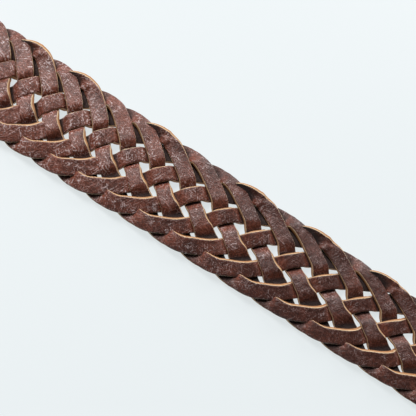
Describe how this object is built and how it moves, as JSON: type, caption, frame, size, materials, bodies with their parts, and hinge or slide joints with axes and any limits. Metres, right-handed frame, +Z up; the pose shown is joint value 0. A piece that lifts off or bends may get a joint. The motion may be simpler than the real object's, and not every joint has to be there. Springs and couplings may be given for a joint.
{
  "type": "braided leather belt",
  "caption": "Flat belt woven from narrow leather laces, with a leather tab folded round a plain pronged buckle and a round-nosed leather tip.",
  "frame": {"origin": "under the middle of the whole belt, on the surface that it lies on", "axes": "+X along the belt from the buckle to the tip, +Y across it, +Z up out of its face"},
  "size_m": [0.8824, 0.0476, 0.0082],
  "materials": {
    "lace_leather": "dark brown crinkled grain with pale tan cut edges",
    "tab_leather": "dark brown crinkled grain",
    "buckle_metal": "satin antique"
  },
  "bodies": {
    "root": {"strand_1": "lace_leather", "strand_2": "lace_leather", "strand_3": "lace_leather", "strand_4": "lace_leather", "strand_5": "lace_leather", "strand_6": "lace_leather", "strand_7": "lace_leather", "buckle_tab": "tab_leather", "tip_tab": "tab_leather", "buckle": "buckle_metal"}
  },
  "joints": []
}
